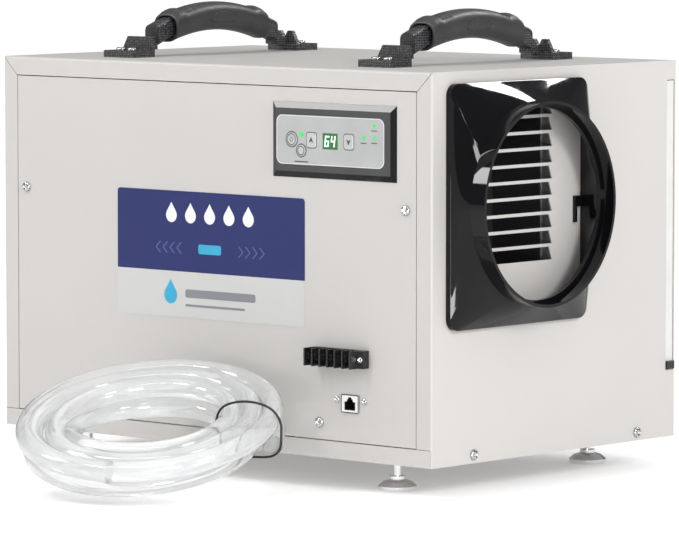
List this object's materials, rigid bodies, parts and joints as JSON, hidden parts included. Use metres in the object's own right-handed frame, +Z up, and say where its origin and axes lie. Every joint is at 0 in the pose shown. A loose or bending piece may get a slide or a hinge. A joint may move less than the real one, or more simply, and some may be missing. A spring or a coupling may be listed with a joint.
{
  "type": "dehumidifier",
  "caption": "Ducted crawl-space dehumidifier: sheet-steel cabinet with round duct collar, carrying handles, control panel, levelling feet, pull-out filter and a coil of drain hose.",
  "frame": {"origin": "middle of the machine's bounding box on the floor, without the loose hose", "axes": "+X from the cabinet towards the duct collar, -Y out of the front with the control panel, +Z up"},
  "size_m": [0.5286, 0.5568, 0.3915],
  "materials": {
    "cabinet_paint": "satin powder coat",
    "zinc_screw": "zinc plated",
    "bracket_black": "satin black",
    "core_black": "matte, fine ribs",
    "grip_rubber": "soft matte",
    "hood_black": "high gloss",
    "bezel_black": "gloss",
    "overlay_grey": "satin film",
    "button_grey": "satin",
    "display_dark": "smoked window",
    "light_green": "lens",
    "board_green": "solder mask",
    "label_print": "printed film",
    "terminal_black": "moulded",
    "socket_white": "moulded",
    "galvanised": "galvanised sheet",
    "foot_chrome": "polished",
    "filter_frame_grey": "moulded",
    "filter_cloth": "non-woven, pleated",
    "tab_black": "moulded",
    "fan_plastic": "moulded",
    "motor_steel": "zinc plated",
    "coil_metal": "bare fins",
    "copper": "copper tube",
    "compressor_black": "satin black",
    "mount_rubber": "matte",
    "pan_plastic": "moulded",
    "spigot_black": "moulded",
    "hose_clear": "clear flexible tube",
    "tie_black": "wire tie"
  },
  "bodies": {
    "cabinet": {"base_pan": "cabinet_paint", "weld_nuts": "galvanised", "left_panel": "cabinet_paint", "right_panel": "cabinet_paint", "top_cover": "cabinet_paint", "front_panel": "cabinet_paint", "back_panel": "cabinet_paint", "panel_screws": "zinc_screw", "handle_brackets": "bracket_black", "left_handle_core": "core_black", "right_handle_core": "core_black", "left_handle_grip": "grip_rubber", "right_handle_grip": "grip_rubber", "handle_screws": "zinc_screw", "duct_hood": "hood_black", "duct_collar": "hood_black", "control_bezel": "bezel_black", "keypad_overlay": "overlay_grey", "display": "display_dark", "indicator_lights": "light_green", "control_board": "board_green", "front_label": "label_print", "terminal_block": "terminal_black", "connection_screws": "zinc_screw", "network_socket": "socket_white", "filter_rails": "galvanised", "bulkhead": "galvanised", "blower_housing": "galvanised", "fan_motor": "motor_steel", "outlet_plenum": "fan_plastic", "condenser": "coil_metal", "evaporator": "coil_metal", "compressor": "compressor_black", "compressor_mounts": "mount_rubber", "compressor_studs": "galvanised", "accumulator": "compressor_black", "discharge_line": "copper", "suction_line": "copper", "filter_drier": "copper", "liquid_line": "copper", "capillary_tube": "copper", "drain_pan": "pan_plastic", "drain_spigot": "spigot_black", "power_gland": "spigot_black", "run_capacitor": "motor_steel"},
    "power_button": {"power_button": "button_grey"},
    "mode_button": {"mode_button": "button_grey"},
    "up_button": {"up_button": "button_grey"},
    "down_button": {"down_button": "button_grey"},
    "blower": {"blower_wheel": "fan_plastic", "motor_shaft": "motor_steel"},
    "filter": {"filter_frame": "filter_frame_grey", "filter_media": "filter_cloth", "filter_tab": "tab_black"},
    "foot_front_left": {"foot_front_left": "foot_chrome"},
    "foot_front_right": {"foot_front_right": "foot_chrome"},
    "foot_back_left": {"foot_back_left": "foot_chrome"},
    "foot_back_right": {"foot_back_right": "foot_chrome"},
    "drain_hose": {"hose_coil": "hose_clear", "hose_tie": "tie_black"}
  },
  "joints": [
    {"name": "power_press", "type": "slide", "parent": "cabinet", "child": "power_button", "axis": [0, 1, 0], "range_m": [0, 0.0008], "stiffness_N_per_m": 500, "springref_m": -0.0006},
    {"name": "mode_press", "type": "slide", "parent": "cabinet", "child": "mode_button", "axis": [0, 1, 0], "range_m": [0, 0.0008], "stiffness_N_per_m": 500, "springref_m": -0.0006},
    {"name": "up_press", "type": "slide", "parent": "cabinet", "child": "up_button", "axis": [0, 1, 0], "range_m": [0, 0.0008], "stiffness_N_per_m": 500, "springref_m": -0.0006},
    {"name": "down_press", "type": "slide", "parent": "cabinet", "child": "down_button", "axis": [0, 1, 0], "range_m": [0, 0.0008], "stiffness_N_per_m": 500, "springref_m": -0.0006},
    {"name": "blower_spin", "type": "hinge", "parent": "cabinet", "child": "blower", "pos_m": [0.0573, -0.057, 0.229], "axis": [0, 1, 0], "continuous": true},
    {"name": "filter_pull", "type": "slide", "parent": "cabinet", "child": "filter", "axis": [1, 0, 0], "range_m": [0, 0.42]},
    {"name": "front_left_level", "type": "slide", "parent": "cabinet", "child": "foot_front_left", "axis": [0, 0, -1], "range_m": [0, 0.012]},
    {"name": "front_right_level", "type": "slide", "parent": "cabinet", "child": "foot_front_right", "axis": [0, 0, -1], "range_m": [0, 0.012]},
    {"name": "back_left_level", "type": "slide", "parent": "cabinet", "child": "foot_back_left", "axis": [0, 0, -1], "range_m": [0, 0.012]},
    {"name": "back_right_level", "type": "slide", "parent": "cabinet", "child": "foot_back_right", "axis": [0, 0, -1], "range_m": [0, 0.012]},
    {"name": "drain_hose_lift", "type": "slide", "parent": "cabinet", "child": "drain_hose", "axis": [0, 0, 1], "range_m": [0, 0.3]}
  ]
}
